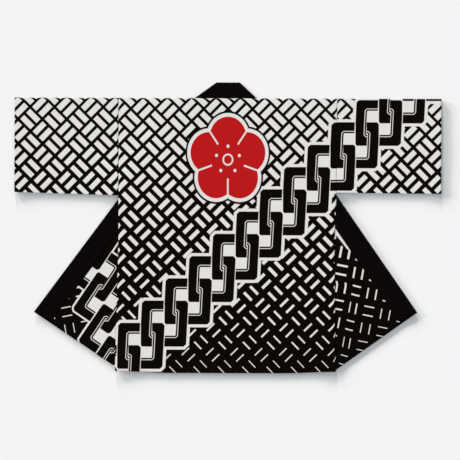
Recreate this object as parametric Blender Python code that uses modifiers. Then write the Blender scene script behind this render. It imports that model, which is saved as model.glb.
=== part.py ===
"""Happi coat laid flat on a table with its back up.

Units are metres. +Y points from the hem to the neck, +Z up from the table, and the
origin is the middle of the coat's footprint at table height.

Each front is folded along a slanting line from the neck to the foot of its side seam.
The part beside the side seam lies under the back. The rest is turned outwards below
it, so a corner of the front and its collar band shows beyond the side seam.

Plan places are given per side as (across, down): across is the distance from the
centre line, and down is the distance below the shoulder fold.
"""

import math

import bmesh
import bpy

# Cut of the coat
CUFF_TO_CUFF = 1.280
BODY_WIDTH = 0.658
BODY_LENGTH = 0.819
HEM_RISE = 0.005            # the side seams pull the hem's two ends up
COLLAR_WIDTH = 0.059
COLLAR_STAND = 0.048        # height of the collar above the shoulder fold
COLLAR_HALF_TOP = 0.035
NECK_HALF = 0.0935

# Walls and clearances
CLOTH = 0.0010              # wall of one layer of cloth
COLLAR_CLOTH = 0.0020       # the band is two layers sewn together
SEAM_GAP = 0.0003
LAYER_GAP = 0.0005
SHOULDER_TURN = 0.010       # how far the back reaches round the shoulder fold
SLEEVE_PUFF = 0.0014        # how far a sleeve's upper wall stands off its lower one
FOLD_INSET = 0.003          # the fold meets the hem just inside the side seam

# How each front is folded: its angle to the centre line, the reach of its hem
# beyond the fold, and how far its front edge leans off the centre line's direction.
# Then how deep the sleeve lies at the cuff and at the armhole
SIDES = {
    "left": {"sign": -1.0, "fold_deg": 17.0, "hem_reach": 0.3065, "lean_deg": 2.6,
             "cuff_depth": 0.2825, "armhole_depth": 0.2915},
    "right": {"sign": 1.0, "fold_deg": 17.7, "hem_reach": 0.2985, "lean_deg": -0.65,
              "cuff_depth": 0.2840, "armhole_depth": 0.2815},
}

# Mesh density
ROWS = 20
CENTRE_COLUMNS = 5
SIDE_COLUMNS = 6
FLAP_COLUMNS = 5
BEND_STEPS = 4
SLEEVE_STATIONS = 6
SLEEVE_WALL_STEPS = 6
COLLAR_COLUMNS = 2

# Worked out from the sizes above
HALF_BODY = BODY_WIDTH / 2
HALF_SPAN = CUFF_TO_CUFF / 2
HEM_SIDE = BODY_LENGTH - HEM_RISE
SHOULDER_Y = (BODY_LENGTH - COLLAR_STAND) / 2
LAYER_STEP = CLOTH + LAYER_GAP
FLAP_LEVEL = CLOTH / 2
PLATEAU_LEVEL = COLLAR_CLOTH + LAYER_GAP + CLOTH / 2
PLATEAU_LIFT = PLATEAU_LEVEL - CLOTH / 2
BEND_RADIUS = (PLATEAU_LEVEL - FLAP_LEVEL) / 2
SHOULDER_RADIUS = LAYER_STEP / 2
MIN_FLAP = 0.012            # a narrower strip of turned cloth is not modelled

# Where one layer comes down beside what it lies on
LIFT_FADE = (-0.070, -0.025)
CENTRE_FADE = (0.030, 0.090)
NECK_FADE = (0.060, 0.220)

FABRIC_ROUGHNESS = 0.85
PRINTED_COTTON = (0.300, 0.290, 0.285, 1.0)
BLACK_COTTON = (0.012, 0.011, 0.010, 1.0)


def smooth_step(value, start, end):
    """Rise from 0 at start to 1 at end."""
    share = min(max((value - start) / (end - start), 0.0), 1.0)
    return share * share * (3.0 - 2.0 * share)


def even_steps(count):
    return [index / count for index in range(count + 1)]


# The fold of one front

def fold_across(side, down):
    """Where the fold lies, across, at a distance below the shoulder."""
    slope = math.tan(math.radians(side["fold_deg"]))
    return HALF_BODY - FOLD_INSET - (HEM_SIDE - down) * slope


def front_edge_across(side, down):
    """The unfolded front's outer edge, which is the collar's free edge."""
    cloth_in_bend = math.pi * BEND_RADIUS / math.cos(math.radians(side["fold_deg"]))
    at_hem = HALF_BODY - FOLD_INSET - side["hem_reach"] - cloth_in_bend
    return at_hem + (HEM_SIDE - down) * math.tan(math.radians(side["lean_deg"]))


def collar_seam_across(side, down):
    return front_edge_across(side, down) + COLLAR_WIDTH


def fold_frame(side):
    """The fold's foot, its direction down the coat and the direction away from it."""
    angle = math.radians(side["fold_deg"])
    foot = (HALF_BODY - FOLD_INSET, HEM_SIDE)
    along = (math.sin(angle), math.cos(angle))
    away = (math.cos(angle), -math.sin(angle))
    return foot, along, away


def folded(side, across, down):
    """Carry a point of the unfolded front to its folded place and height."""
    foot, along, away = fold_frame(side)
    reach = (across - foot[0], down - foot[1])
    run = reach[0] * along[0] + reach[1] * along[1]
    past = -(reach[0] * away[0] + reach[1] * away[1])
    if past <= 0.0:
        return across, down, front_level(side, across, down)
    turned = past / BEND_RADIUS
    if turned < math.pi:
        offset = -BEND_RADIUS * math.sin(turned)
        level = FLAP_LEVEL + BEND_RADIUS * (1.0 + math.cos(turned))
    else:
        offset = past - math.pi * BEND_RADIUS
        level = FLAP_LEVEL
    return (
        foot[0] + along[0] * run + away[0] * offset,
        foot[1] + along[1] * run + away[1] * offset,
        level,
    )


# Heights of the layers

def lift(side, across, down):
    """How far what lies here is raised by the turned front below it."""
    edge_foot = folded(side, front_edge_across(side, HEM_SIDE), HEM_SIDE)
    edge_head = folded(side, front_edge_across(side, 0.0), 0.0)
    run = (edge_head[0] - edge_foot[0], edge_head[1] - edge_foot[1])
    length = math.hypot(*run)
    offset = (across - edge_foot[0], down - edge_foot[1])
    inside = (offset[0] * run[1] - offset[1] * run[0]) / length
    return PLATEAU_LIFT * smooth_step(inside, *LIFT_FADE)


def front_level(side, across, down):
    return CLOTH / 2 + lift(side, across, down)


def back_level(side, across, down):
    """The back lies on the fronts, and comes down between the two folds."""
    on_front = front_level(side, across, down) + LAYER_STEP
    on_collar = PLATEAU_LEVEL
    below_neck = smooth_step(down, *NECK_FADE)
    floor = on_collar + (CLOTH / 2 - on_collar) * below_neck
    inboard = fold_across(side, down) - across
    return on_front + (floor - on_front) * smooth_step(inboard, *CENTRE_FADE)


# Building

def add_material(name, colour):
    material = bpy.data.materials.new(name)
    material.use_nodes = True
    shader = material.node_tree.nodes["Principled BSDF"]
    shader.inputs["Base Color"].default_value = colour
    shader.inputs["Roughness"].default_value = FABRIC_ROUGHNESS
    shader.inputs["Metallic"].default_value = 0.0
    return material


def to_world(side, across, down, level):
    return side["sign"] * across, SHOULDER_Y - down, level


def add_sheet(name, collection, material, columns, rows, place, thickness,
              left_out=None, closed=False):
    """Lay a grid of columns by rows where place(column, row) says, as a thin wall.

    left_out(column, row) tells which cells of the grid are cut away, and closed joins
    the last row to the first.
    """
    bm = bmesh.new()
    bmesh.ops.create_grid(bm, x_segments=columns, y_segments=rows, size=1.0)
    cells = {}
    for vert in bm.verts:
        column = round((vert.co.x + 1.0) / 2.0 * columns)
        row = round((vert.co.y + 1.0) / 2.0 * rows)
        cells[vert] = (column, row)
    if left_out:
        notch = [
            face for face in bm.faces
            if left_out(
                min(cells[vert][0] for vert in face.verts),
                min(cells[vert][1] for vert in face.verts),
            )
        ]
        bmesh.ops.delete(bm, geom=notch, context="FACES")
    for vert in bm.verts:
        vert.co = place(*cells[vert])
    if closed:
        bmesh.ops.remove_doubles(bm, verts=bm.verts, dist=0.00001)
    # The same diagonals in every layer keep the layers the same distance apart
    bmesh.ops.triangulate(bm, faces=bm.faces, quad_method="SHORT_EDGE")

    mesh = bpy.data.meshes.new(name)
    bm.to_mesh(mesh)
    bm.free()
    mesh.shade_smooth()
    mesh.materials.append(material)
    sheet = bpy.data.objects.new(name, mesh)
    collection.objects.link(sheet)
    wall = sheet.modifiers.new("Wall", "SOLIDIFY")
    wall.thickness = thickness
    wall.offset = 0.0
    return sheet


def side_shares(side):
    """Shares of the way from the fold to the side seam, one of them at the neck."""
    fold_top = fold_across(side, 0.0)
    neck = (NECK_HALF - fold_top) / (HALF_BODY - fold_top)
    return [0.0] + [neck + (1.0 - neck) * share for share in even_steps(SIDE_COLUMNS)]


def body_across(side, share, down):
    fold = fold_across(side, down)
    return fold + (HALF_BODY - fold) * share


def body_rows():
    """Distances below the shoulder of the body's rows, from a front's top edge down."""
    top = SHOULDER_TURN + SEAM_GAP
    return [top + (HEM_SIDE - top) * share for share in even_steps(ROWS)]


def hem_sag(across):
    """The hem is level in the middle and rises a little towards the side seams."""
    return HEM_RISE * (1.0 - smooth_step(across, HALF_BODY / 2, HALF_BODY))


def build_back(collection, material):
    """One wide panel, with its top edge rolled over the shoulder on both sides."""
    half_columns = CENTRE_COLUMNS + SIDE_COLUMNS + 1
    downs = [*reversed(body_rows()), SHOULDER_RADIUS]
    roll_start = len(downs) - 1
    last_row = roll_start + BEND_STEPS + 1

    def column_place(column):
        side = SIDES["left"] if column < half_columns else SIDES["right"]
        return side, abs(column - half_columns)

    def column_across(side, index, down):
        if index <= CENTRE_COLUMNS:
            return fold_across(side, down) * index / CENTRE_COLUMNS
        return body_across(side, side_shares(side)[index - CENTRE_COLUMNS], down)

    def place(column, row):
        side, index = column_place(column)
        if row <= roll_start:
            down = downs[row]
            across = column_across(side, index, down)
            if row == 0:
                down += hem_sag(across)
            return to_world(side, across, down, back_level(side, across, down))
        across = column_across(side, index, SHOULDER_RADIUS)
        level = back_level(side, across, SHOULDER_RADIUS) - SHOULDER_RADIUS
        if row == last_row:
            return to_world(side, across, SHOULDER_TURN, level - SHOULDER_RADIUS)
        angle = math.pi * (row - roll_start) / BEND_STEPS
        down = SHOULDER_RADIUS * (1.0 - math.sin(angle))
        return to_world(side, across, down, level + SHOULDER_RADIUS * math.cos(angle))

    def neck_notch(column, row):
        neck_columns = CENTRE_COLUMNS + 1
        in_neck = half_columns - neck_columns <= column < half_columns + neck_columns
        return row >= roll_start and in_neck

    add_sheet("back", collection, material, 2 * half_columns, last_row,
              place, CLOTH, left_out=neck_notch)


def first_flap_row(side):
    """The first row where the turned part is wide enough to be modelled."""
    for row, down in enumerate(body_rows()):
        beyond = fold_across(side, down) - collar_seam_across(side, down)
        width = beyond * math.cos(math.radians(side["fold_deg"]))
        if width >= math.pi * BEND_RADIUS + MIN_FLAP:
            return row
    return ROWS


def build_front(name, side, collection, material):
    """A panel folded along its slanting line, half under the back and half beyond."""
    shares = side_shares(side)
    fold_column = len(shares) - 1
    flap_start = fold_column + BEND_STEPS
    downs = body_rows()
    flap_row = first_flap_row(side)
    lean = math.cos(math.radians(side["fold_deg"]))

    def place(column, row):
        down = downs[row]
        if column <= fold_column:
            across = body_across(side, shares[fold_column - column], down)
            return to_world(side, across, down, front_level(side, across, down))
        bend_end = math.pi * BEND_RADIUS / lean
        if column <= flap_start:
            past = bend_end * (column - fold_column) / BEND_STEPS
        else:
            reach = fold_across(side, down) - collar_seam_across(side, down)
            past = bend_end + (reach - bend_end) * (column - flap_start) / FLAP_COLUMNS
        return to_world(side, *folded(side, fold_across(side, down) - past, down))

    def above_flap(column, row):
        return row < flap_row and column >= fold_column

    add_sheet(name, collection, material, flap_start + FLAP_COLUMNS, ROWS,
              place, CLOTH, left_out=above_flap)


def build_sleeve(name, side, collection, material):
    """A flat tube: folded at the top, seamed below, open at the armhole and cuff."""
    start = HALF_BODY + SEAM_GAP
    radius = SHOULDER_RADIUS
    armhole_depth = side["armhole_depth"]
    ring = 2 * (SLEEVE_WALL_STEPS + BEND_STEPS)

    def section(step):
        """Share of the way down, height and roll of one point round the tube."""
        if step <= SLEEVE_WALL_STEPS:
            return step / SLEEVE_WALL_STEPS, 0.0, None
        step -= SLEEVE_WALL_STEPS
        if step < BEND_STEPS:
            return 1.0, 0.0, math.pi * step / BEND_STEPS
        step -= BEND_STEPS
        if step <= SLEEVE_WALL_STEPS:
            return 1.0 - step / SLEEVE_WALL_STEPS, 1.0, None
        return 0.0, 1.0, math.pi * (step - SLEEVE_WALL_STEPS) / BEND_STEPS

    def place(column, row):
        share = column / SLEEVE_STATIONS
        across = start + (HALF_SPAN - start) * share
        depth = armhole_depth + (side["cuff_depth"] - armhole_depth) * share
        way, upper, roll = section(row % ring)
        down = radius + (depth - 2.0 * radius) * way
        floor = front_level(side, across, down)
        if roll is None:
            puff = SLEEVE_PUFF * math.sin(math.pi * way) * smooth_step(share, 0.0, 0.5)
            return to_world(side, across, down, floor + upper * (LAYER_STEP + puff))
        outwards = 1.0 - 2.0 * upper
        down += outwards * radius * math.sin(roll)
        level = floor + radius * (1.0 - outwards * math.cos(roll))
        return to_world(side, across, down, level)

    add_sheet(name, collection, material, SLEEVE_STATIONS, ring,
              place, CLOTH, closed=True)


def collar_stations(side):
    """Outer and inner edge of one half of the collar, from its hem end to the neck."""
    stations = []
    downs = body_rows()
    for down in reversed(downs[first_flap_row(side):]):
        outer = folded(side, front_edge_across(side, down), down)
        inner = folded(side, collar_seam_across(side, down) - SEAM_GAP, down)
        stations.append((outer[:2], inner[:2]))
    neck_inner = 0.022
    stations.append(((NECK_HALF, 0.0), (NECK_HALF / 2, neck_inner)))
    stations.append(((COLLAR_HALF_TOP, -COLLAR_STAND), (COLLAR_HALF_TOP * 0.8, neck_inner)))
    return [(side, outer, inner) for outer, inner in stations]


def build_collar(collection, material):
    """One band from one hem, round the back of the neck, to the other hem."""
    stations = collar_stations(SIDES["left"])
    stations += reversed(collar_stations(SIDES["right"]))

    def place(column, row):
        side, outer, inner = stations[row]
        share = column / COLLAR_COLUMNS
        across = outer[0] + (inner[0] - outer[0]) * share
        down = outer[1] + (inner[1] - outer[1]) * share
        return to_world(side, across, down, COLLAR_CLOTH / 2)

    add_sheet("collar", collection, material, COLLAR_COLUMNS, len(stations) - 1,
              place, COLLAR_CLOTH)


def clear_scene():
    for item in list(bpy.data.objects):
        bpy.data.objects.remove(item, do_unlink=True)


def main():
    clear_scene()
    collection = bpy.data.collections.new("happi_coat")
    bpy.context.scene.collection.children.link(collection)
    pieces = ("back", "front_left", "front_right", "sleeve_left", "sleeve_right")
    prints = {piece: add_material(f"{piece}_cotton", PRINTED_COTTON) for piece in pieces}
    build_back(collection, prints["back"])
    for name, side in SIDES.items():
        front = f"front_{name}"
        sleeve = f"sleeve_{name}"
        build_front(front, side, collection, prints[front])
        build_sleeve(sleeve, side, collection, prints[sleeve])
    build_collar(collection, add_material("collar_cotton", BLACK_COTTON))


main()
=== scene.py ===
# Happi coat laid out on a table with its back up, both fronts turned outwards below it.
# Metres. +Y runs from the hem to the neck. A place on a panel is (across, down): how far
# it is from the centre line, and how far below the shoulder fold.

import math

import bmesh
import bpy
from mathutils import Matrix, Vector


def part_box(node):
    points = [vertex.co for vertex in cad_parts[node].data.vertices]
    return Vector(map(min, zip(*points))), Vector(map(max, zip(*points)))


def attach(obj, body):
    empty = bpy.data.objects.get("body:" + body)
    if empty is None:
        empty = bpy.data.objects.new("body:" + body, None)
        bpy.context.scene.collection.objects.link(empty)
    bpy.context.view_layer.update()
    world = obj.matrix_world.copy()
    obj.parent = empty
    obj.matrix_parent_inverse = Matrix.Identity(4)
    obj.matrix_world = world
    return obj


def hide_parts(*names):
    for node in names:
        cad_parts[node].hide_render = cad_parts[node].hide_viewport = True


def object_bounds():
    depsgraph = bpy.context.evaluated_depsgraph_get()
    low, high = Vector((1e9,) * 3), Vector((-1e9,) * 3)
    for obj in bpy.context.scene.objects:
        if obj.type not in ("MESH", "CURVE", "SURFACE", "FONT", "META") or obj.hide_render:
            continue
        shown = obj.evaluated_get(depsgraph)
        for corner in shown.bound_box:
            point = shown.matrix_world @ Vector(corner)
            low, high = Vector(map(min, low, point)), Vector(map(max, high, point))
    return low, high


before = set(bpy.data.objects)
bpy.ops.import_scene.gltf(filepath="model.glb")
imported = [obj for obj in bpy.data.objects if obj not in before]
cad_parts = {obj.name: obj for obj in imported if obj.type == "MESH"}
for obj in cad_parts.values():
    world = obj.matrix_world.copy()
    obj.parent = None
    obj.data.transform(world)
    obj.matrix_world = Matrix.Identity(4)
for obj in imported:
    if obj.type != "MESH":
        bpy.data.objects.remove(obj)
cadLow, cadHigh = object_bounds()
backLow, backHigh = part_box("back")
print("frame loaded, the coat is", [round(side, 3) for side in cadHigh - cadLow], "m")

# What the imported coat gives
halfBody = backHigh.x
halfSpan = cadHigh.x
shoulderY = backHigh.y
collarStand = cadHigh.y - shoulderY
hemMiddle = shoulderY - backLow.y
hemRise = 0.005             # the side seams pull the hem's two ends up
hemSide = hemMiddle - hemRise

fold = {
    "cloth": 0.0010,        # one layer as packed
    "layerGap": 0.0005,
    "collarCloth": 0.0020,
    "inset": 0.003,         # the fold's foot lies this far inside the side seam
    "collarWidth": 0.059,
    "collarHalfTop": 0.035,
    "liftFrom": 0.070,      # what lies on a turned front starts to rise this far off its edge
    "liftTo": 0.025,
}
sides = {
    "left": {"sign": -1.0, "foldDegrees": 17.0, "hemReach": 0.3065, "leanDegrees": 2.6,
             "cuffDepth": 0.2825, "armholeDepth": 0.2915, "neckHalf": 0.1010,
             # How the side seam wanders: down, and how far inside the cut width it lies.
             # Then down, and the radius at which the back rolls down to it
             "seam": [(0.0, 0.0005), (0.42, 0.0015), (0.50, 0.0), (0.63, -0.0033), (0.82, -0.0075)],
             "seamRoll": [(0.0, 0.005), (0.82, 0.007)]},
    "right": {"sign": 1.0, "foldDegrees": 17.7, "hemReach": 0.2985, "leanDegrees": -0.65,
              "cuffDepth": 0.2840, "armholeDepth": 0.2815, "neckHalf": 0.0860,
              "seam": [(0.0, 0.0015), (0.29, 0.0030), (0.39, 0.0080), (0.52, 0.0085),
                       (0.62, 0.0060), (0.82, 0.0030)],
              "seamRoll": [(0.0, 0.005), (0.52, 0.006), (0.62, 0.015), (0.82, 0.015)]},
}
shell = {
    "thickness": 0.0008,    # cotton sheeting, a little under its solid's wall
    "grid": 0.006,
    "hemWidth": 0.012,      # width of the turned-up edge
    "hemStitch": 0.002,     # over which the stitching draws it down
    "hemRidge": 0.0004,     # how far the turned-up edge stands proud
    "weld": 0.00001,        # a tube's two long edges are joined within this
}

plateauLevel = fold["collarCloth"] + fold["layerGap"] + fold["cloth"] / 2
flapLevel = fold["cloth"] / 2
bendRadius = (plateauLevel - flapLevel) / 2
layerStep = fold["cloth"] + fold["layerGap"]


# Small helpers

def smoothStep(value, start, end):
    share = min(max((value - start) / (end - start), 0.0), 1.0)
    return share * share * (3.0 - 2.0 * share)


def readTable(rows, place):
    # Straight lines between the rows of (place, value)
    for low, high in zip(rows, rows[1:]):
        if place <= high[0]:
            share = max(place - low[0], 0.0) / (high[0] - low[0])
            return low[1] + (high[1] - low[1]) * share
    return rows[-1][1]


def linearColour(hexCode):
    # sRGB hex to the linear values that a shader takes
    channels = [int(hexCode[index:index + 2], 16) / 255 for index in (1, 3, 5)]
    linear = [
        value / 12.92 if value <= 0.04045 else ((value + 0.055) / 1.055) ** 2.4
        for value in channels
    ]
    return (*linear, 1.0)


def addNode(tree, kind, inputs=(), output=0, **settings):
    # inputs holds sockets to link or plain values, by order or by name
    node = tree.nodes.new(kind)
    for name, value in settings.items():
        setattr(node, name, value)
    pairs = inputs.items() if isinstance(inputs, dict) else enumerate(inputs)
    for slot, value in pairs:
        if isinstance(value, bpy.types.NodeSocket):
            tree.links.new(value, node.inputs[slot])
        else:
            node.inputs[slot].default_value = value
    return node.outputs[output]


def bodyEdge(side, down):
    return halfBody - readTable(side["seam"], down)


def rolledIn(distance, radius):
    # Cloth used up by this distance from an edge that it rolls over
    if distance >= radius:
        return distance
    return radius * (1.0 - math.asin(1.0 - max(distance, 0.0) / radius))


# How the fronts are folded

def foldAcross(side, down):
    slope = math.tan(math.radians(side["foldDegrees"]))
    return halfBody - fold["inset"] - (hemSide - down) * slope


def edgeAtHem(side):
    turned = math.pi * bendRadius / math.cos(math.radians(side["foldDegrees"]))
    return halfBody - fold["inset"] - side["hemReach"] - turned


def frontEdgeAcross(side, down):
    return edgeAtHem(side) + (hemSide - down) * math.tan(math.radians(side["leanDegrees"]))


def collarSeamAcross(side, down):
    return frontEdgeAcross(side, down) + fold["collarWidth"]


def foldedPlace(side, across, down):
    # Carries a point of the unfolded front to where it lies: across, down and height
    angle = math.radians(side["foldDegrees"])
    foot = (halfBody - fold["inset"], hemSide)
    along = (math.sin(angle), math.cos(angle))
    away = (math.cos(angle), -math.sin(angle))
    reach = (across - foot[0], down - foot[1])
    run = reach[0] * along[0] + reach[1] * along[1]
    past = -(reach[0] * away[0] + reach[1] * away[1])
    if past <= 0.0:
        return across, down, frontLevel(side, across, down)
    turned = past / bendRadius
    if turned < math.pi:
        offset = -bendRadius * math.sin(turned)
        level = flapLevel + bendRadius * (1.0 + math.cos(turned))
    else:
        offset = past - math.pi * bendRadius
        level = flapLevel
    return (
        foot[0] + along[0] * run + away[0] * offset,
        foot[1] + along[1] * run + away[1] * offset,
        level,
    )


def lift(side, across, down):
    # How far what lies here is raised by the turned front below it
    edgeFoot = foldedPlace(side, frontEdgeAcross(side, hemSide), hemSide)
    edgeHead = foldedPlace(side, frontEdgeAcross(side, 0.0), 0.0)
    run = (edgeHead[0] - edgeFoot[0], edgeHead[1] - edgeFoot[1])
    offset = (across - edgeFoot[0], down - edgeFoot[1])
    inside = (offset[0] * run[1] - offset[1] * run[0]) / math.hypot(*run)
    return (plateauLevel - fold["cloth"] / 2) * smoothStep(inside, -fold["liftFrom"], -fold["liftTo"])


def frontLevel(side, across, down):
    return fold["cloth"] / 2 + lift(side, across, down)


# Soft relief of the upper layers: long shallow swells, each a row of
# (across, down, half length, half width, degrees from the centre line, height)

backSwells = [
    (-0.210, 0.120, 0.150, 0.020, 8.0, 0.0007),
    (0.235, 0.150, 0.120, 0.024, -11.0, 0.0006),
    (-0.120, 0.360, 0.180, 0.034, 5.0, 0.0006),
    (0.060, 0.470, 0.200, 0.030, -4.0, 0.0007),
    (0.255, 0.560, 0.160, 0.022, -14.0, 0.0008),
    (-0.270, 0.600, 0.150, 0.020, 13.0, 0.0008),
    (-0.030, 0.700, 0.100, 0.026, 2.0, 0.0010),
    (0.150, 0.745, 0.070, 0.020, -6.0, 0.0009),
    (-0.180, 0.760, 0.060, 0.018, 7.0, 0.0009),
]
sleeveSwells = [
    (0.360, 0.150, 0.110, 0.016, 3.0, 0.0006),
    (0.440, 0.110, 0.090, 0.018, 78.0, 0.0005),
    (0.500, 0.190, 0.100, 0.020, -62.0, 0.0006),
    (0.585, 0.120, 0.080, 0.018, 12.0, 0.0006),
]
flapSwells = [
    (0.120, 0.520, 0.120, 0.020, 6.0, 0.0005),
    (0.170, 0.680, 0.090, 0.022, -4.0, 0.0006),
]


def swell(table, across, down):
    height = 0.0
    for row in table:
        turn = math.radians(row[4])
        offset = (across - row[0], down - row[1])
        along = offset[0] * math.sin(turn) + offset[1] * math.cos(turn)
        beside = offset[0] * math.cos(turn) - offset[1] * math.sin(turn)
        height += row[5] * math.exp(-(along / row[2]) ** 2 - (beside / row[3]) ** 2)
    return height


# Laying a sheet of cloth: a grid of cells, made into a thin shell

def layCloth(name, columns, rows, placeAt, thickness, cutAway=None, closed=False, flip=False):
    # placeAt(column, row) gives where a point lies, and where it is on the cut panel
    verts = []
    cuts = []
    for row in range(rows + 1):
        for column in range(columns + 1):
            place, cut = placeAt(column, row)
            verts.append(place)
            cuts.append(cut)
    wide = columns + 1
    faces = []
    for row in range(rows):
        for column in range(columns):
            if cutAway and cutAway(column, row):
                continue
            first = row * wide + column
            below = first + wide
            corners = [first, below, below + 1, first + 1]
            faces.append(corners[::-1] if flip else corners)
    mesh = bpy.data.meshes.new(name)
    mesh.from_pydata(verts, [], faces)
    cutMap = mesh.uv_layers.new(name="cut")
    bakeMap = mesh.uv_layers.new(name="OFBake")
    for loop in mesh.loops:
        row, column = divmod(loop.vertex_index, wide)
        cutMap.data[loop.index].uv = cuts[loop.vertex_index]
        bakeMap.data[loop.index].uv = (column / columns, row / rows)
    mesh.uv_layers.active = cutMap
    cutMap.active_render = True

    bm = bmesh.new()
    bm.from_mesh(mesh)
    loose = [vert for vert in bm.verts if not vert.link_faces]
    bmesh.ops.delete(bm, geom=loose, context="VERTS")
    if closed:
        bmesh.ops.remove_doubles(bm, verts=bm.verts, dist=shell["weld"])
    bm.to_mesh(mesh)
    bm.free()
    flatFaces = len(mesh.polygons)
    flatVerts = len(mesh.vertices)

    sheet = bpy.data.objects.new(name, mesh)
    bpy.context.scene.collection.objects.link(sheet)
    wall = sheet.modifiers.new("Wall", "SOLIDIFY")
    wall.thickness = thickness
    wall.offset = 0.0
    graph = bpy.context.evaluated_depsgraph_get()
    solid = bpy.data.meshes.new_from_object(sheet.evaluated_get(graph))
    sheet.modifiers.clear()
    sheet.data = solid
    bpy.data.meshes.remove(mesh)
    solid.name = name
    solid.shade_smooth()
    spreadBakeMap(solid, flatFaces, flatVerts)
    return sheet


spread = {
    "margin": 0.02,
    "outerFrom": 0.14,      # the outer face has the map above this height,
    "innerFrom": 0.01,      # and the inner face a strip below it
    "innerHeight": 0.10,
    "rim": 0.008,           # the rim's far side lies this much outside the outer face
    "near": 0.01,           # what counts as lying on the outer face's edge
}


def spreadBakeMap(mesh, flatFaces, flatVerts):
    # The outer face takes most of the map, the inner face a strip, the rim a margin
    bakeMap = mesh.uv_layers["OFBake"]
    low, high, bottom = spread["margin"], 1.0 - spread["margin"], spread["outerFrom"]
    near = spread["near"]
    for face in mesh.polygons:
        for index in face.loop_indices:
            u, v = bakeMap.data[index].uv
            u = low + (high - low) * u
            if flatFaces <= face.index < 2 * flatFaces:
                bakeMap.data[index].uv = (u, spread["innerFrom"] + spread["innerHeight"] * v)
                continue
            v = bottom + (high - bottom) * v
            if face.index >= flatFaces and mesh.loops[index].vertex_index >= flatVerts:
                u += spread["rim"] * ((u > high - near) - (u < low + near))
                v += spread["rim"] * ((v > high - near) - (v < bottom + near))
            bakeMap.data[index].uv = (u, v)


# The shoulder fold: how the cloth rolls over it

roll = {
    "reach": 0.006,         # how far in from the fold's outermost line the roll starts
    "printRadius": 0.012,   # the print closes up as it goes round a roll of this radius
    "loft": 0.0016,         # the fold stands up a little
    "loftFade": 0.030,
}


def rolledCut(down):
    # Where the print of this place lies on the flat panel
    return rolledIn(down, roll["printRadius"])


def printAcross(side, across, down):
    # The print closes up where the back rolls down to the side seam
    edge = bodyEdge(side, down)
    return edge - rolledIn(edge - across, readTable(side["seamRoll"], down))


def shoulderLoft(down):
    return roll["loft"] * math.exp(-down / roll["loftFade"])


def hemSag(across):
    return hemRise * (1.0 - smoothStep(abs(across), halfBody / 2, halfBody))


def turnedEdge(near):
    # The turned-up edge is thicker, so it stands proud as far as its stitching
    stitching = shell["hemWidth"] - shell["hemStitch"]
    return shell["hemRidge"] * (1.0 - smoothStep(near, stitching, shell["hemWidth"]))


back = {
    "bridge": 0.0024,       # height at which the back spans the gap between the fronts
    "bridgeFrom": 0.060,    # the span grows between these two places below the shoulder,
    "bridgeTo": 0.220,
    "bridgeFade": 0.090,    # and over this width beside each front's fold
    "shoulderTurn": 0.010,
    "turnPrint": -0.016,    # where the print carries on under the shoulder
    "neckFade": 0.015,      # the roll dies out over this width beside the collar
    "hemDrop": 0.0042,      # the back hangs this much below the fronts
    "rollSteps": 10,
}


def backLevel(side, across, down):
    onFront = frontLevel(side, across, down) + layerStep
    belowNeck = smoothStep(down, back["bridgeFrom"], back["bridgeTo"])
    floor = plateauLevel + (back["bridge"] - plateauLevel) * belowNeck
    inboard = foldAcross(side, down) - across
    return onFront + (floor - onFront) * smoothStep(inboard, 0.0, back["bridgeFade"])


def buildBack():
    columns = 2 * round(halfBody / shell["grid"])
    flatRows = round((hemMiddle - roll["reach"]) / shell["grid"])
    rows = flatRows + back["rollSteps"] + 2

    def placeAt(column, row):
        share = 2.0 * column / columns - 1.0
        side = sides["left"] if share < 0.0 else sides["right"]
        fallen = 1.0 - min(row, flatRows) / flatRows
        nominal = roll["reach"] + (hemMiddle - roll["reach"]) * fallen
        across = abs(share) * bodyEdge(side, nominal)
        x = side["sign"] * across
        printX = side["sign"] * printAcross(side, across, nominal)
        if row <= flatRows:
            hemDown = hemSide + hemSag(across) + back["hemDrop"]
            down = roll["reach"] + (hemDown - roll["reach"]) * fallen
            level = backLevel(side, across, down) + shoulderLoft(down)
            level += swell(backSwells, x, down) + turnedEdge(hemDown - down)
            return (x, shoulderY - down, level), (printX, rolledCut(down))
        step = row - flatRows
        low = fold["cloth"] / 2
        if step > back["rollSteps"]:
            under = (step - back["rollSteps"]) / 2
            down = roll["reach"] + (back["shoulderTurn"] - roll["reach"]) * under
            return (x, shoulderY - down, low), (printX, back["turnPrint"] - down)
        top = backLevel(side, across, roll["reach"]) + shoulderLoft(roll["reach"])
        half = (top - low) / 2
        angle = math.pi * step / back["rollSteps"]
        down = roll["reach"] * (1.0 - math.sin(angle))
        cut = rolledCut(down) if angle <= math.pi / 2 else 2 * rolledCut(0.0) - rolledCut(down)
        # At the neck the edge is sewn down flat, and rolls only beside the collar
        rolled = smoothStep(across, side["neckHalf"] - back["neckFade"], side["neckHalf"])
        level = top - half * (1.0 - math.cos(angle)) * rolled
        return (x, shoulderY - down, level), (printX, cut)

    def neckNotch(column, row):
        x = halfBody * (2.0 * (column + 0.5) / columns - 1.0)
        reach = sides["left" if x < 0.0 else "right"]["neckHalf"]
        return row >= flatRows + back["rollSteps"] // 2 and abs(x) < reach

    return layCloth("backPanel", columns, rows, placeAt, shell["thickness"],
                    cutAway=neckNotch, flip=True)


front = {
    "seamGap": 0.0004,      # the hidden part stops this far short of the side seam
    "shoulderGap": 0.0003,
    "underBand": 0.0016,    # the flap's edge lies this far inside the doubled band
    "bandLevel": 0.00105,
    "bandFade": 0.006,      # and comes to the band's level over this width
    "hemLift": 0.0012,      # the turned corner's hem stands a little off the table
    "hemFade": 0.050,
    "liftFade": 0.040,      # but stays down beside the fold for this width
    "narrowest": 0.012,     # a narrower flap is left out, as it is hidden
    "rowStep": 0.008,
    "bendSteps": 8,
    "hiddenColumns": 24,
    "flapColumns": 30,
}
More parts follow.
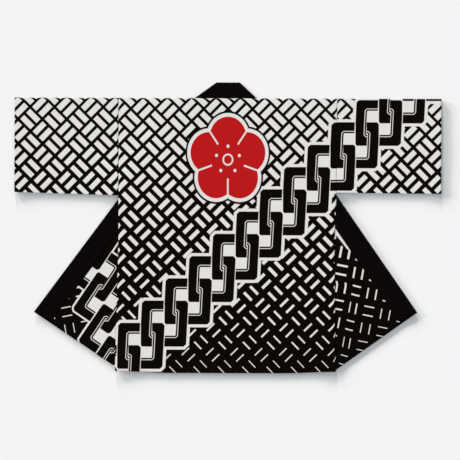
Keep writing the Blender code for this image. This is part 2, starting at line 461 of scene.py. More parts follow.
# A low crease beside the right side seam, which takes up a little cloth: where it starts
# and ends, its width, the cloth it hides and its height
crease = {
    "from": (0.385, 0.543),
    "to": (0.349, 0.771),
    "width": 0.024,
    "hides": 0.0080,
    "height": 0.0008,
    "rise": (-0.010, 0.018),    # it grows over this stretch past its start
}


def creaseAt(across, down):
    # Share of the hidden cloth passed here, and the crease's height
    begin, end = crease["from"], crease["to"]
    line = begin[0] + (down - begin[1]) * (end[0] - begin[0]) / (end[1] - begin[1])
    half = crease["width"] / 2
    grown = smoothStep(down, begin[1] + crease["rise"][0], begin[1] + crease["rise"][1])
    hidden = 1.0 - smoothStep(across - line, -half, half)
    return hidden * grown, 4.0 * hidden * (1.0 - hidden) * grown


def buildFront(name, side):
    # From the side seam under the back, round the slanting fold, out to the collar seam
    sign = side["sign"]
    top = back["shoulderTurn"] + front["shoulderGap"]
    rows = round((hemSide - top) / front["rowStep"])
    hiddenColumns = front["hiddenColumns"]
    flapStart = hiddenColumns + front["bendSteps"]
    columns = flapStart + front["flapColumns"]
    bendEnd = math.pi * bendRadius / math.cos(math.radians(side["foldDegrees"]))

    def flapWidth(down):
        return foldAcross(side, down) - collarSeamAcross(side, down) - bendEnd + front["underBand"]

    def placeAt(column, row):
        down = hemSide - (hemSide - top) * row / rows
        start = foldAcross(side, down)
        if column <= hiddenColumns:
            seam = bodyEdge(side, down) - front["seamGap"]
            across = seam + (start - seam) * column / hiddenColumns
            level = frontLevel(side, across, down)
            return (sign * across, shoulderY - down, level), (sign * across, down)
        if column <= flapStart:
            past = bendEnd * (column - hiddenColumns) / front["bendSteps"]
        else:
            way = (column - flapStart) / front["flapColumns"]
            past = bendEnd + max(flapWidth(down), 0.0) * way
        across = start - past
        placed = foldedPlace(side, across, down)
        level = placed[2]
        if past > bendEnd:
            fromBand = across - collarSeamAcross(side, down)
            seam = 1.0 - smoothStep(fromBand, 0.0, front["bandFade"])
            level += turnedEdge(hemSide - down) + swell(flapSwells, across, down)
            lifted = smoothStep(past, bendEnd, bendEnd + front["liftFade"]) * (1.0 - seam)
            lifted *= 1.0 - smoothStep(hemSide - down, 0.0, front["hemFade"])
            level += front["hemLift"] * lifted
            level += (front["bandLevel"] - level) * seam
        cut = (across, down)
        if sign > 0.0 and past > bendEnd:
            share, height = creaseAt(placed[0], placed[1])
            level += crease["height"] * height
            # A step across the coat, mirrored by the fold
            angle = 2.0 * math.radians(side["foldDegrees"])
            hidden = crease["hides"] * share
            cut = (across + hidden * math.cos(angle), down - hidden * math.sin(angle))
        return (sign * placed[0], shoulderY - placed[1], level), (sign * cut[0], cut[1])

    def aboveFlap(column, row):
        down = hemSide - (hemSide - top) * (row + 1) / rows
        return column >= hiddenColumns and flapWidth(down) < front["narrowest"]

    return layCloth(name, columns, rows, placeAt, shell["thickness"],
                    cutAway=aboveFlap, flip=sign < 0.0)


sleeve = {
    "bottomFold": 0.0022,   # the seamed bottom edge is pressed flatter than the top
    "puff": 0.0012,         # the upper wall stands off the lower one between its edges
    # Shares of the sleeve's length, from the armhole, over which these grow
    "puffShare": 0.4,
    "swellShare": 0.2,
    "liftShare": 0.3,
    "cuffLift": 0.0016,     # the cuff's upper wall stands a little open
    "cuffFade": 0.070,
    "seamLift": 0.0011,     # the bottom seam does not lie quite down
    "seamFade": 0.060,
    "rollSteps": 10,
    "gap": 0.0003,
}


def buildSleeve(name, side):
    sign = side["sign"]
    columns = round((halfSpan - halfBody) / shell["grid"])
    armhole = side["armholeDepth"]
    wallRows = round(armhole / shell["grid"])
    steps = sleeve["rollSteps"]
    ring = 2 * (wallRows + steps)
    topReach = roll["reach"]
    lowReach = sleeve["bottomFold"]
    overTop = 2 * rolledCut(0.0)    # the print used up by the shoulder fold

    def placeAt(column, row):
        share = column / columns
        depth = armhole + (side["cuffDepth"] - armhole) * share
        step = row % ring
        if step <= wallRows:                      # lower wall, from the top down
            way, upper, angle = step / wallRows, False, None
        elif step < wallRows + steps:             # round the bottom
            way, upper, angle = 1.0, False, math.pi * (step - wallRows) / steps
        elif step <= 2 * wallRows + steps:        # upper wall, from the bottom up
            way, upper, angle = 1.0 - (step - wallRows - steps) / wallRows, True, None
        else:                                     # round the top
            way, upper, angle = 0.0, True, math.pi * (step - 2 * wallRows - steps) / steps
        down = topReach + (depth - topReach - lowReach) * way
        start = bodyEdge(side, down) + sleeve["gap"]
        across = start + (halfSpan - start) * share
        floor = frontLevel(side, across, min(down, depth))
        raised = smoothStep(share, 0.0, sleeve["liftShare"])
        raised *= 1.0 - smoothStep(depth - down, 0.0, sleeve["seamFade"])
        floor += sleeve["seamLift"] * raised
        puff = sleeve["puff"] * math.sin(math.pi * way) * smoothStep(share, 0.0, sleeve["puffShare"])
        topLevel = floor + layerStep + shoulderLoft(down) + puff
        topLevel += swell(sleeveSwells, across, down) * smoothStep(share, 0.0, sleeve["swellShare"])
        cuff = halfSpan - across
        topLevel += turnedEdge(cuff)
        topLevel += sleeve["cuffLift"] * (1.0 - smoothStep(cuff, 0.0, sleeve["cuffFade"]))
        if angle is None:
            level = topLevel if upper else floor
            cut = rolledCut(down) if upper else overTop - down
        else:
            reach = topReach if upper else lowReach
            outwards = -1.0 if upper else 1.0
            middle = (topLevel + floor) / 2
            half = (topLevel - floor) / 2
            place = down + outwards * reach * math.sin(angle)
            level = middle - outwards * half * math.cos(angle)
            if upper:
                cut = rolledCut(place) if angle <= math.pi / 2 else overTop - rolledCut(place)
            else:
                cut = place if angle > math.pi / 2 else overTop - place
            down = place
        printX = start + rolledIn(across - start, side["seamRoll"][0][1])
        return (sign * across, shoulderY - down, level), (sign * printX, cut)

    return layCloth(name, columns, ring, placeAt, shell["thickness"],
                    closed=True, flip=sign < 0.0)


collar = {
    "cloth": 0.0008,
    "thickness": 0.0024,
    "hemGap": 0.0003,
    "stationStep": 0.012,
    "edgeLift": 0.0018,     # the free edge stands a little off the table
    "edgeTurn": 0.0015,     # how far in from the free edge its fold starts
    "crown": 0.0004,        # the band is a little thicker along its middle
    "narrowest": 0.012,     # the band dives under the back where less of the front shows
    "neckInner": 0.022,     # how far below the shoulder the hidden edge runs
    "neckTaper": 0.8,
    "neckRise": 0.0010,
    "diveSteps": 12,
    "footSteps": 8,
    "topSteps": 8,
    "faceSteps": 8,
    "edgeSteps": 6,
}


def between(start, end, way):
    return tuple(first + (second - first) * way for first, second in zip(start, end))


def collarStations(side):
    # Free edge and seam edge of one half of the collar, from its hem end to the neck
    stations = []
    down = hemSide
    while True:
        beyond = foldAcross(side, down) - collarSeamAcross(side, down)
        beyond *= math.cos(math.radians(side["foldDegrees"]))
        if beyond < math.pi * bendRadius + collar["narrowest"]:
            break
        outer = foldedPlace(side, frontEdgeAcross(side, down), down)
        inner = foldedPlace(side, collarSeamAcross(side, down) - collar["hemGap"], down)
        stations.append((outer[:2], inner[:2], 0.0))
        down -= collar["stationStep"]
    # Under the back to the foot of the neck piece, then up its side to its top
    top = fold["collarHalfTop"]
    outerFoot = (side["neckHalf"], 0.0)
    innerFoot = (side["neckHalf"] / 2, collar["neckInner"])
    outerTop = (top, -collarStand)
    innerTop = (top * collar["neckTaper"], collar["neckInner"])
    outerLast, innerLast, _ = stations[-1]
    for step in range(1, collar["diveSteps"] + 1):
        way = step / collar["diveSteps"]
        stations.append((between(outerLast, outerFoot, way), between(innerLast, innerFoot, way), way))
    for step in range(1, collar["footSteps"] + 1):
        way = step / collar["footSteps"]
        stations.append((between(outerFoot, outerTop, way), between(innerFoot, innerTop, way), 1.0))
    return [(side, outer, inner, neck) for outer, inner, neck in stations]


def buildCollar():
    stations = collarStations(sides["left"])
    for step in range(1, collar["topSteps"]):     # along the top edge of the neck piece
        way = step / collar["topSteps"]
        side = sides["left"] if way < 0.5 else sides["right"]
        half = abs(1.0 - 2.0 * way) * fold["collarHalfTop"]
        inner = (half * collar["neckTaper"], collar["neckInner"])
        stations.append((side, (half, -collarStand), inner, 1.0))
    stations += collarStations(sides["right"])[::-1]
    faceSteps = collar["faceSteps"]
    edgeSteps = collar["edgeSteps"]
    columns = 2 * faceSteps + edgeSteps
    rows = len(stations) - 1
    half = (collar["thickness"] - collar["cloth"]) / 2

    def placeAt(column, row):
        side, outer, inner, neck = stations[row]
        width = math.dist(outer, inner)
        edge = collar["edgeTurn"] / width
        if column <= faceSteps:                   # under face, from the seam outwards
            way, height = 1.0 - column / faceSteps * (1.0 - edge), -half
        elif column < faceSteps + edgeSteps:      # round the folded free edge
            angle = math.pi * (column - faceSteps) / edgeSteps
            way, height = edge * (1.0 - math.sin(angle)), -half * math.cos(angle)
        else:                                     # upper face, back to the seam
            way, height = edge + (column - faceSteps - edgeSteps) / faceSteps * (1.0 - edge), half
        place = between(outer, inner, way)
        middle = collar["thickness"] / 2 + collar["edgeLift"] * (1.0 - way) ** 2 * (1.0 - neck)
        cut = -width * (1.0 - way)
        if column > faceSteps:
            height += collar["crown"] * math.sin(math.pi * way) + collar["neckRise"] * neck * way
            cut = -cut
        place = (side["sign"] * place[0], shoulderY - place[1], middle + height)
        return place, (cut, row * collar["stationStep"])

    return layCloth("collarBand", columns, rows, placeAt, collar["cloth"])


# The print

cloth = {
    "white": "#E3E1DF",     # bleached cotton, a little warm
    "ink": "#0B0806",       # reactive black, printed to saturation
    "red": "#B91A1A",
    "thread": 0.0022,       # real sheeting has 0.5 mm threads: coarser so that they show at all
    "slubLength": 0.025,    # thick places in the threads, coarser likewise
    "slubWidth": 0.0016667,
    "slubTint": (0.88, 1.08),
    "slubHeight": 0.6,      # against the weave's own height
    "roughness": 0.88,
    "ior": 1.5,
    "specular": 0.02,       # unfinished cotton scatters nearly all the light
    "bump": 0.25,
    "bumpHeight": 0.0002,
}
bars = {
    "pitchAcross": 0.0730,
    "pitchDown": 0.0737,
    # The white bars thin towards the hem: width at the shoulder, how much it loses in a
    # metre, and how much more in each further metre. The lengths likewise
    "bodyWidths": (0.0173, -0.0095, -0.0108),
    "frontWidths": (0.0152, -0.0160, 0.0),
    "length": 0.0441,
    "lengthLoss": -0.0185,
}
chain = {
    "halfWidth": 0.0695,
    "halfHeight": 0.0690,
    "bar": 0.0262,          # black bar of a link
    "line": 0.0021,         # light line inside it
    "rim": 0.0330,          # from a link's outside to its white middle
    "outline": 0.0088,
    "overlap": 0.0019,      # thin line where a link passes over another
    "chamfer": 0.0075,
    "innerChamfer": 0.0060,
    "crossing": 0.475,      # share of a step at which the other link comes on top
}
emblem = {
    "petals": 5,
    "centreDown": 0.1835,
    "petalRadius": 0.055,
    "petalReach": 0.060,
    "heart": 0.055,
    "stretch": 1.12,
    "outline": 0.0100,
    "keyline": 0.0054,
    "slit": 0.0024,         # half width of the slit between two petals
    "slitFrom": 0.050,      # how far from the middle it starts
    "slitEnd": 0.001,
    "dot": 0.0044,
    "dotReach": 0.036,
    "ring": 0.014,
    "ringLine": 0.0022,
}
bleed = 0.0004              # soft edge of the ink, from its bleed into the threads


def newGroup(name, takes, gives):
    # takes and gives hold the name and kind of each socket
    tree = bpy.data.node_groups.new(name, "ShaderNodeTree")
    for direction, sockets in (("INPUT", takes), ("OUTPUT", gives)):
        for label, kind in sockets.items():
            tree.interface.new_socket(label, in_out=direction, socket_type="NodeSocket" + kind)
    return tree, tree.nodes.new("NodeGroupInput"), tree.nodes.new("NodeGroupOutput")


def within(tree, distance, reach):
    # 1 where the distance is less than the reach, with the soft edge of the ink
    return addNode(tree, "ShaderNodeMapRange",
                   {"Value": distance, "From Min": reach + bleed, "From Max": reach - bleed})


def barsTree():
    # Bars woven in 45 degree cells: in every other cell the two bars turn the other way
    takes = {"Place": "Vector", "Start": "Vector", "Lean": "Float", "Bow": "Float",
             "Widths": "Vector"}
    tree, given, made = newGroup("wovenBars", takes, {"White": "Float"})
    across, down = bars["pitchAcross"], bars["pitchDown"]
    cell = (across + down) / 2 * math.sqrt(0.5)
    local = addNode(tree, "ShaderNodeVectorMath", [given.outputs[0], given.outputs[1]],
                    operation="SUBTRACT")
    fallen = addNode(tree, "ShaderNodeSeparateXYZ", [local], 1)
    slope = addNode(tree, "ShaderNodeMath", [fallen, given.outputs[3], given.outputs[2]],
                    operation="MULTIPLY_ADD")
    leant = addNode(tree, "ShaderNodeMath", [fallen, slope], operation="MULTIPLY")
    leant = addNode(tree, "ShaderNodeCombineXYZ", [leant])
    local = addNode(tree, "ShaderNodeVectorMath", [local, leant], operation="SUBTRACT")
    along = addNode(tree, "ShaderNodeVectorMath", [local, (1 / across, 1 / down, 0.0)], 1,
                    operation="DOT_PRODUCT")
    beside = addNode(tree, "ShaderNodeVectorMath", [local, (1 / across, -1 / down, 0.0)], 1,
                     operation="DOT_PRODUCT")
    cellAlong = addNode(tree, "ShaderNodeMath", [along], operation="ROUND")
    cellBeside = addNode(tree, "ShaderNodeMath", [beside], operation="ROUND")
    inAlong = addNode(tree, "ShaderNodeMath", [along, cellAlong], operation="SUBTRACT")
    inBeside = addNode(tree, "ShaderNodeMath", [beside, cellBeside], operation="SUBTRACT")
    count = addNode(tree, "ShaderNodeMath", [cellAlong, cellBeside], operation="ADD")
    turned = addNode(tree, "ShaderNodeMath", [count, 2.0], operation="FLOORED_MODULO")
    run = addNode(tree, "ShaderNodeMix", {"Factor": turned, "A": inAlong, "B": inBeside})
    side = addNode(tree, "ShaderNodeMix", {"Factor": turned, "A": inBeside, "B": inAlong})
    run = addNode(tree, "ShaderNodeMath", [run], operation="ABSOLUTE")
    side = addNode(tree, "ShaderNodeMath", [side], operation="ABSOLUTE")
    side = addNode(tree, "ShaderNodeMath", [side, 0.25], operation="SUBTRACT")
    side = addNode(tree, "ShaderNodeMath", [side], operation="ABSOLUTE")

    rank = addNode(tree, "ShaderNodeMath", [cellAlong, cellBeside], operation="SUBTRACT")
    startDown = addNode(tree, "ShaderNodeSeparateXYZ", [given.outputs[1]], 1)
    cellDown = addNode(tree, "ShaderNodeMath", [rank, down / 2, startDown], operation="MULTIPLY_ADD")
    widths = addNode(tree, "ShaderNodeSeparateXYZ", [given.outputs[4]]).node.outputs
    loss = addNode(tree, "ShaderNodeMath", [cellDown, widths[2], widths[1]], operation="MULTIPLY_ADD")
    width = addNode(tree, "ShaderNodeMath", [cellDown, loss, widths[0]], operation="MULTIPLY_ADD")
    width = addNode(tree, "ShaderNodeMath", [width, 0.5 / cell], operation="MULTIPLY")
    length = addNode(tree, "ShaderNodeMath", [cellDown, bars["lengthLoss"], bars["length"]],
                     operation="MULTIPLY_ADD")
    length = addNode(tree, "ShaderNodeMath", [length, 0.5 / cell], operation="MULTIPLY")
    past = addNode(tree, "ShaderNodeMath", [run, length], operation="SUBTRACT")
    out = addNode(tree, "ShaderNodeMath", [side, width], operation="SUBTRACT")
    farther = addNode(tree, "ShaderNodeMath", [past, out], operation="MAXIMUM")
    white = addNode(tree, "ShaderNodeMapRange",
                    {"Value": farther, "From Min": bleed / cell, "From Max": -bleed / cell},
                    interpolation_type="SMOOTHSTEP")
    tree.links.new(white, made.inputs[0])
    return tree


def linkTree():
    # Distances of a place from one link of the chain: outside edge and inner edge
    tree, given, made = newGroup("chainLink", {"Place": "Vector"},
                                 {"Outside": "Float", "Inside": "Float"})
    spread = addNode(tree, "ShaderNodeVectorMath", [given.outputs[0]], operation="ABSOLUTE")
    edges = [(0.0, chain["chamfer"]), (chain["bar"], chain["innerChamfer"])]
    for slot, (inset, chamfer) in enumerate(edges):
        halfWidth = chain["halfWidth"] - inset
        halfHeight = chain["halfHeight"] - inset
        beyond = addNode(tree, "ShaderNodeVectorMath", [spread, (halfWidth, halfHeight, 0.0)],
                         operation="SUBTRACT")
        parts = addNode(tree, "ShaderNodeSeparateXYZ", [beyond])
        square = addNode(tree, "ShaderNodeMath", [parts, parts.node.outputs[1]], operation="MAXIMUM")
        total = addNode(tree, "ShaderNodeMath", [parts, parts.node.outputs[1]], operation="ADD")
        corner = addNode(tree, "ShaderNodeMath", [total, math.sqrt(0.5), chamfer * math.sqrt(0.5)],
                         operation="MULTIPLY_ADD")
        distance = addNode(tree, "ShaderNodeMath", [square, corner], operation="MAXIMUM")
        tree.links.new(distance, made.inputs[slot])
    return tree


def chainTree(links):
    # Interlocked links on a slanting row: each passes over the next on one side of it
    takes = {"Place": "Vector", "First": "Vector", "Step": "Vector", "Lean": "Float",
             "Outline": "Float", "Stretch": "Float"}
    tree, given, made = newGroup("chainOfLinks", takes, {"White": "Float", "Covered": "Float"})
    place, first, step = given.outputs[0], given.outputs[1], given.outputs[2]
    local = addNode(tree, "ShaderNodeVectorMath", [place, first], operation="SUBTRACT")
    stretch = addNode(tree, "ShaderNodeCombineXYZ", [given.outputs[5], 1.0, 1.0])
    local = addNode(tree, "ShaderNodeVectorMath", [local, stretch], operation="MULTIPLY")
    stepAcross = addNode(tree, "ShaderNodeSeparateXYZ", [step], 0)
    localAcross = addNode(tree, "ShaderNodeSeparateXYZ", [local], 0)
    shifted = addNode(tree, "ShaderNodeMath", [localAcross, chain["halfWidth"]], operation="ADD")
    ranks = addNode(tree, "ShaderNodeMath", [shifted, stepAcross], operation="DIVIDE")
    ranks = addNode(tree, "ShaderNodeMath", [ranks, -1.0], operation="ADD")
    rank = addNode(tree, "ShaderNodeMath", [ranks], operation="FLOOR")
    way = addNode(tree, "ShaderNodeMath", [ranks], operation="FRACT")
    upperOnTop = addNode(tree, "ShaderNodeMath", [way, chain["crossing"]], operation="LESS_THAN")

    distances = []
    for offset in (-1.0, 0.0, 1.0, 2.0):
        number = addNode(tree, "ShaderNodeMath", [rank, offset], operation="ADD")
        moved = addNode(tree, "ShaderNodeVectorMath", {0: step, "Scale": number}, operation="SCALE")
        own = addNode(tree, "ShaderNodeVectorMath", [local, moved], operation="SUBTRACT")
        parts = addNode(tree, "ShaderNodeSeparateXYZ", [own])
        leant = addNode(tree, "ShaderNodeMath", [parts.node.outputs[1], given.outputs[3]],
                        operation="MULTIPLY")
        upright = addNode(tree, "ShaderNodeMath", [parts, leant], operation="SUBTRACT")
        own = addNode(tree, "ShaderNodeCombineXYZ", [upright, parts.node.outputs[1]])
        link = addNode(tree, "ShaderNodeGroup", [own], node_tree=links)
        distances.append((link.node.outputs[0], link.node.outputs[1]))

    below, lower, upper, above = distances
    top = [addNode(tree, "ShaderNodeMix", {"Factor": upperOnTop, "A": lower[index], "B": upper[index]})
           for index in (0, 1)]
    under = [addNode(tree, "ShaderNodeMix", {"Factor": upperOnTop, "A": upper[index], "B": lower[index]})
             for index in (0, 1)]
    hole = chain["bar"] - chain["rim"]            # the white middle's edge, seen from the inner edge
    shown = []
    for outside, inside in (top, under):
        # 1 on the link's ink, 0 off it, and the light line along its inner edge
        on = within(tree, outside, 0.0)
        off = within(tree, inside, hole)
        body = addNode(tree, "ShaderNodeMath", [on, off], operation="SUBTRACT", use_clamp=True)
        fromLine = addNode(tree, "ShaderNodeMath", [inside, chain["line"] / 2], operation="ADD")
        fromLine = addNode(tree, "ShaderNodeMath", [fromLine], operation="ABSOLUTE")
        shown.append((body, within(tree, fromLine, chain["line"] / 2)))
    (topBody, topLine), (underBody, underLine) = shown
    underInk = addNode(tree, "ShaderNodeMath", [underBody, underLine], operation="SUBTRACT",
                       use_clamp=True)
    underWhite = addNode(tree, "ShaderNodeMath", [1.0, underInk], operation="SUBTRACT")

    # Thin line round whatever link lies on top, outside it and in its hole
    guards = [within(tree, outside, chain["overlap"]) for outside in (top[0], below[0], above[0])]
    innerGuard = addNode(tree, "ShaderNodeMapRange",
                         {"Value": top[1], "From Min": hole - chain["overlap"] - bleed,
                          "From Max": hole - chain["overlap"] + bleed})
    nearTop = addNode(tree, "ShaderNodeMath", [guards[0], innerGuard], operation="MULTIPLY")
    white = underWhite
    for guard in (nearTop, guards[1], guards[2]):
        white = addNode(tree, "ShaderNodeMath", [white, guard], operation="MAXIMUM")
    white = addNode(tree, "ShaderNodeMix", {"Factor": topBody, "A": white, "B": topLine})

    nearest = below[0]
    for link in (lower, upper, above):
        nearest = addNode(tree, "ShaderNodeMath", [nearest, link[0]], operation="MINIMUM")
    nearest = addNode(tree, "ShaderNodeMath", [nearest, given.outputs[4]], operation="SUBTRACT")
    tree.links.new(white, made.inputs[0])
    tree.links.new(within(tree, nearest, 0.0), made.inputs[1])
    return tree


barsGroup = barsTree()
chainGroup = chainTree(linkTree())


def weaveNodes(tree, place, colour):
    # Plain weave: threads both ways, with slubs that catch the ink unevenly
    scale = math.pi / 10 / cloth["thread"]        # at scale 1 a wave repeats every tenth of pi
    threads = [addNode(tree, "ShaderNodeTexWave",
                       {"Vector": place, "Scale": scale, "Distortion": 0.0},
                       1, bands_direction=direction) for direction in "XY"]
    along, beside = 1.0 / cloth["slubLength"], 1.0 / cloth["slubWidth"]
    noises = []
    for pull in ((along, beside, 1.0), (beside, along, 1.0)):
        pulled = addNode(tree, "ShaderNodeVectorMath", [place, pull], operation="MULTIPLY")
        noises.append(addNode(tree, "ShaderNodeTexNoise",
                              {"Vector": pulled, "Scale": 1.0, "Detail": 2.0}))
    slubs = addNode(tree, "ShaderNodeMath", noises, operation="ADD")
    weave = addNode(tree, "ShaderNodeMath", threads, operation="MAXIMUM")
    tint = addNode(tree, "ShaderNodeMapRange",
                   {"Value": slubs, "From Min": 0.6, "From Max": 1.4,
                    "To Min": cloth["slubTint"][0], "To Max": cloth["slubTint"][1]})
    colour = addNode(tree, "ShaderNodeVectorMath", {0: colour, "Scale": tint}, operation="SCALE")
    height = addNode(tree, "ShaderNodeMath", [slubs, cloth["slubHeight"], weave],
                     operation="MULTIPLY_ADD")
    return colour, height


def finishCotton(tree, colour, height):
    shader = tree.nodes["Principled BSDF"]
    tree.links.new(colour, shader.inputs["Base Color"])
    shader.inputs["Roughness"].default_value = cloth["roughness"]
    shader.inputs["IOR"].default_value = cloth["ior"]
    shader.inputs["Specular IOR Level"].default_value = cloth["specular"]
    bump = addNode(tree, "ShaderNodeBump",
                   {"Strength": cloth["bump"], "Distance": cloth["bumpHeight"], "Height": height})
    tree.links.new(bump, shader.inputs["Normal"])


def printedCotton(name, layout):
    # Printed cotton sheeting: matt, with the pattern dyed in and no film on top
    material = bpy.data.materials.new(name)
    material.use_nodes = True
    tree = material.node_tree
    place = addNode(tree, "ShaderNodeUVMap", uv_map="cut")
    white = addNode(tree, "ShaderNodeGroup", {
        "Place": place, "Start": (*layout["bars"], 0.0), "Lean": layout["lean"],
        "Bow": layout.get("bow", 0.0), "Widths": bars[layout.get("widths", "bodyWidths")],
    }, node_tree=barsGroup)
    if "chain" in layout:
        row = layout["chain"]
        links = addNode(tree, "ShaderNodeGroup", {
            "Place": place, "First": (*row["first"], 0.0), "Step": (*row["step"], 0.0),
            "Lean": row["lean"], "Outline": row.get("outline", chain["outline"]),
            "Stretch": row.get("stretch", 1.0),
        }, node_tree=chainGroup)
        white = addNode(tree, "ShaderNodeMix",
                        {"Factor": links.node.outputs["Covered"], "A": white,
                         "B": links.node.outputs["White"]})
    colour = addNode(tree, "ShaderNodeMix",
                     {"Factor": white, "A": linearColour(cloth["ink"]),
                      "B": linearColour(cloth["white"])},
                     2, data_type="RGBA")
    if layout.get("emblem"):
        colour = addEmblem(tree, place, colour)
    colour, height = weaveNodes(tree, place, colour)
    finishCotton(tree, colour, height)
    return material


def addEmblem(tree, place, colour):
    # A round-petalled flower with a white and a black line round it
    local = addNode(tree, "ShaderNodeVectorMath", [place, (0.0, emblem["centreDown"], 0.0)],
                    operation="SUBTRACT")
    local = addNode(tree, "ShaderNodeVectorMath", [local, (1.0, 1.0 / emblem["stretch"], 0.0)],
                    operation="MULTIPLY")
    parts = addNode(tree, "ShaderNodeSeparateXYZ", [local])
    radius = addNode(tree, "ShaderNodeVectorMath", [local], 1, operation="LENGTH")
    upwards = addNode(tree, "ShaderNodeMath", [parts.node.outputs[1], -1.0], operation="MULTIPLY")
    angle = addNode(tree, "ShaderNodeMath", [parts, upwards], operation="ARCTAN2")
    sector = 2 * math.pi / emblem["petals"]
    turned = addNode(tree, "ShaderNodeMath", [angle, sector / 2], operation="ADD")
    turned = addNode(tree, "ShaderNodeMath", [turned, sector], operation="FLOORED_MODULO")
    turned = addNode(tree, "ShaderNodeMath", [turned, sector / 2], operation="SUBTRACT")
    turned = addNode(tree, "ShaderNodeMath", [turned], operation="ABSOLUTE")
    cosine = addNode(tree, "ShaderNodeMath", [turned], operation="COSINE")
    sine = addNode(tree, "ShaderNodeMath", [turned], operation="SINE")
    out = addNode(tree, "ShaderNodeMath", [cosine, radius], operation="MULTIPLY")
    beside = addNode(tree, "ShaderNodeMath", [sine, radius], operation="MULTIPLY")
    petalOut = addNode(tree, "ShaderNodeMath", [out, emblem["petalReach"]], operation="SUBTRACT")
    petalPlace = addNode(tree, "ShaderNodeCombineXYZ", [petalOut, beside])
    petal = addNode(tree, "ShaderNodeVectorMath", [petalPlace], 1, operation="LENGTH")
    petal = addNode(tree, "ShaderNodeMath", [petal, emblem["petalRadius"]], operation="SUBTRACT")
    heart = addNode(tree, "ShaderNodeMath", [radius, emblem["heart"]], operation="SUBTRACT")
    flower = addNode(tree, "ShaderNodeMath", [petal, heart], operation="MINIMUM")

    # Slits between the petals, a dot on each petal's foot and a ring in the middle
    fromSlit = addNode(tree, "ShaderNodeMath", [sector / 2, turned], operation="SUBTRACT")
    fromSlit = addNode(tree, "ShaderNodeMath", [fromSlit, radius], operation="MULTIPLY")
    outer = addNode(tree, "ShaderNodeMapRange",
                    {"Value": radius, "From Min": emblem["slitFrom"],
                     "From Max": emblem["slitFrom"] + emblem["slitEnd"]})
    marks = addNode(tree, "ShaderNodeMath", [within(tree, fromSlit, emblem["slit"]), outer],
                    operation="MULTIPLY")
    dotOut = addNode(tree, "ShaderNodeMath", [out, emblem["dotReach"]], operation="SUBTRACT")
    dotPlace = addNode(tree, "ShaderNodeCombineXYZ", [dotOut, beside])
    fromDot = addNode(tree, "ShaderNodeVectorMath", [dotPlace], 1, operation="LENGTH")
    fromRing = addNode(tree, "ShaderNodeMath", [radius, emblem["ring"]], operation="SUBTRACT")
    fromRing = addNode(tree, "ShaderNodeMath", [fromRing], operation="ABSOLUTE")
    for distance, reach in ((fromDot, emblem["dot"]), (fromRing, emblem["ringLine"])):
        marks = addNode(tree, "ShaderNodeMath", [marks, within(tree, distance, reach)],
                        operation="MAXIMUM")

    bands = (
        (emblem["outline"] + emblem["keyline"], linearColour(cloth["ink"])),
        (emblem["outline"], linearColour(cloth["white"])),
        (0.0, linearColour(cloth["red"])),
    )
    for reach, paint in bands:
        share = within(tree, flower, reach)
        colour = addNode(tree, "ShaderNodeMix", {"Factor": share, "A": colour, "B": paint}, 2,
                         data_type="RGBA")
    marks = addNode(tree, "ShaderNodeMath", [marks, share], operation="MULTIPLY")
    return addNode(tree, "ShaderNodeMix",
                   {"Factor": marks, "A": colour, "B": linearColour(cloth["white"])}, 2,
                   data_type="RGBA")


band = {
    "dye": "#060403",
    "bloom": "#0E0B0A",     # where the dye has taken less well
    "bloomScale": 60.0,     # patches about 17 mm across
}


def blackCotton():
    # Cotton sheeting dyed black in the piece: matt, with faint lighter patches
    material = bpy.data.materials.new("blackCottonBand")
    material.use_nodes = True
    tree = material.node_tree
    place = addNode(tree, "ShaderNodeUVMap", uv_map="cut")
    noise = addNode(tree, "ShaderNodeTexNoise",
                    {"Vector": place, "Scale": band["bloomScale"], "Detail": 3.0})
    colour = addNode(tree, "ShaderNodeMix",
                     {"Factor": noise, "A": linearColour(band["dye"]),
                      "B": linearColour(band["bloom"])},
                     2, data_type="RGBA")
    colour, height = weaveNodes(tree, place, colour)
    finishCotton(tree, colour, height)
    return material


# Where the print falls on each panel: the middle of one cell of bars, how far the
# printed rows lean, and the first link of the chain with the step to the next
layouts = {
    "backPanel": {
        "bars": (-0.2914, 0.0684), "lean": 0.0071, "bow": -0.0256, "emblem": True,
        "chain": {"first": (-0.2606, 0.7428), "step": (0.0708, -0.06695), "lean": -0.049},
    },
    "sleeveLeft": {"bars": (-0.5929, 0.0638), "lean": 0.0144},
    "sleeveRight": {
        "bars": (0.3738, 0.0707), "lean": -0.0038,
        "chain": {"first": (0.3817, 0.1391), "step": (0.0700, -0.0675), "lean": -0.047},
    },
    "frontLeft": {
        "bars": (-0.0955, 0.7594), "lean": 0.0, "widths": "frontWidths",
        "chain": {"first": (-0.2398, 0.7449), "step": (0.0688, -0.0696), "lean": -0.015,
                  "outline": 0.0050, "stretch": 1.021},
    },
    "frontRight": {
        "bars": (0.0154, 0.3218), "lean": 0.0372, "widths": "frontWidths",
        "chain": {"first": (0.0100, 0.4740), "step": (0.0688, -0.0696), "lean": -0.04,
                  "outline": 0.0080},
    },
}

built = {
    "backPanel": buildBack(),
    "frontLeft": buildFront("frontLeft", sides["left"]),
    "frontRight": buildFront("frontRight", sides["right"]),
    "sleeveLeft": buildSleeve("sleeveLeft", sides["left"]),
    "sleeveRight": buildSleeve("sleeveRight", sides["right"]),
    "collarBand": buildCollar(),
}
print("cloth laid:", {name: len(piece.data.polygons) for name, piece in built.items()})

for name, layout in layouts.items():
    built[name].data.materials.append(printedCotton(f"printedCotton_{name}", layout))
built["collarBand"].data.materials.append(blackCotton())
print("print and dye done")

nodeNames = {
    "backPanel": "back", "frontLeft": "front_left", "frontRight": "front_right",
    "sleeveLeft": "sleeve_left", "sleeveRight": "sleeve_right", "collarBand": "collar",
}
for name, node in nodeNames.items():
    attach(built[name], "root")
    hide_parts(node)

# Table, light and camera

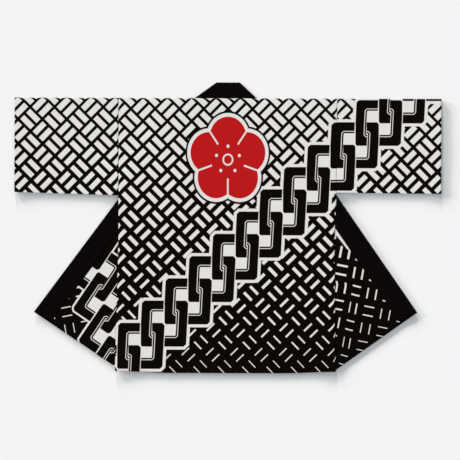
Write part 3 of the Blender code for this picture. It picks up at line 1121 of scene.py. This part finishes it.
studio = {
    "floor": "#F3F3F3",
    "floorHalf": 60.0,
    "floorDrop": 0.0002,
    "backdrop": "#F4F4F4",  # what the camera sees beyond the table, and how light the table looks
    "lowElevation": 6.8,    # far soft boxes that graze the table, for its shadows
    "lowAngle": 7.5,
    # Where each low box stands, degrees from +X, and its share
    "lowBoxes": [(98.0, 0.34), (128.0, 0.36), (158.0, 0.30)],
    "highElevation": 52.0,  # the far soft box that lights the cloth itself
    "highFrom": 128.0,
    "highAngle": 25.0,
    "ambient": (0.455, 0.480, 0.495),   # linear light from all round, a little cool
}


def buildTable():
    bm = bmesh.new()
    bmesh.ops.create_grid(bm, x_segments=1, y_segments=1, size=studio["floorHalf"])
    mesh = bpy.data.meshes.new("table")
    bm.to_mesh(mesh)
    bm.free()
    table = bpy.data.objects.new("table", mesh)
    table.location.z = cadLow.z - studio["floorDrop"]
    bpy.context.scene.collection.objects.link(table)
    paper = bpy.data.materials.new("mattPaper")     # seamless studio paper: even and matt
    paper.use_nodes = True
    shader = paper.node_tree.nodes["Principled BSDF"]
    shader.inputs["Base Color"].default_value = linearColour(studio["floor"])
    shader.inputs["Roughness"].default_value = 1.0
    shader.inputs["Specular IOR Level"].default_value = 0.0
    mesh.materials.append(paper)
    return table


def lightStudio(table, pieces):
    albedo = linearColour(studio["floor"])[0]
    wanted = linearColour(studio["backdrop"])[0]
    world = bpy.data.worlds.new("studioAir")
    bpy.context.scene.world = world
    world.use_nodes = True
    tree = world.node_tree
    air = tree.nodes["Background"]
    air.inputs["Strength"].default_value = 1.0
    path = addNode(tree, "ShaderNodeLightPath")
    colour = addNode(tree, "ShaderNodeMix",
                     {"Factor": path, "A": (*studio["ambient"], 1.0),
                      "B": linearColour(studio["backdrop"])},
                     2, data_type="RGBA")
    tree.links.new(colour, air.inputs["Color"])

    # Light linking keeps the grazing boxes off the cloth and the overhead box off the table
    onTable = bpy.data.collections.new("litTable")
    onTable.objects.link(table)
    onCoat = bpy.data.collections.new("litCoat")
    for piece in pieces:
        onCoat.objects.link(piece)
    needed = [wanted / albedo - part for part in studio["ambient"]]
    strength = max(needed)
    tint = [part / strength for part in needed]
    boxes = [("grazingBox", studio["lowElevation"], turn, studio["lowAngle"], share, onTable)
             for turn, share in studio["lowBoxes"]]
    boxes.append(("overheadBox", studio["highElevation"], studio["highFrom"],
                  studio["highAngle"], 1.0, onCoat))
    for name, height, turn, angle, share, lit in boxes:
        sun = bpy.data.lights.new(name, "SUN")
        sun.angle = math.radians(angle)
        sun.color = tint
        sun.energy = share * strength * math.pi / math.sin(math.radians(height))
        lamp = bpy.data.objects.new(name, sun)
        lamp.rotation_euler = (math.radians(90.0 - height), 0.0, math.radians(turn + 90.0))
        lamp.light_linking.receiver_collection = lit
        bpy.context.scene.collection.objects.link(lamp)


camera = {
    "lens": 180.0,
    "sensor": 36.0,
    "frameWidth": 1.380,    # how much of the table the camera takes in
    "aim": (0.007, -0.0085),
    "roll": 0.2,            # degrees
    "farthest": 200.0,
}


def placeCamera():
    view = bpy.data.cameras.new("overhead")
    view.lens = camera["lens"]
    view.sensor_width = camera["sensor"]
    view.clip_end = camera["farthest"]
    height = camera["frameWidth"] * camera["lens"] / camera["sensor"]
    eye = bpy.data.objects.new("overhead", view)
    eye.location = (*camera["aim"], height)
    eye.rotation_euler = (0.0, 0.0, math.radians(camera["roll"]))
    bpy.context.scene.collection.objects.link(eye)
    bpy.context.scene.camera = eye


lightStudio(buildTable(), built.values())
placeCamera()
bpy.context.scene.view_settings.view_transform = "Standard"
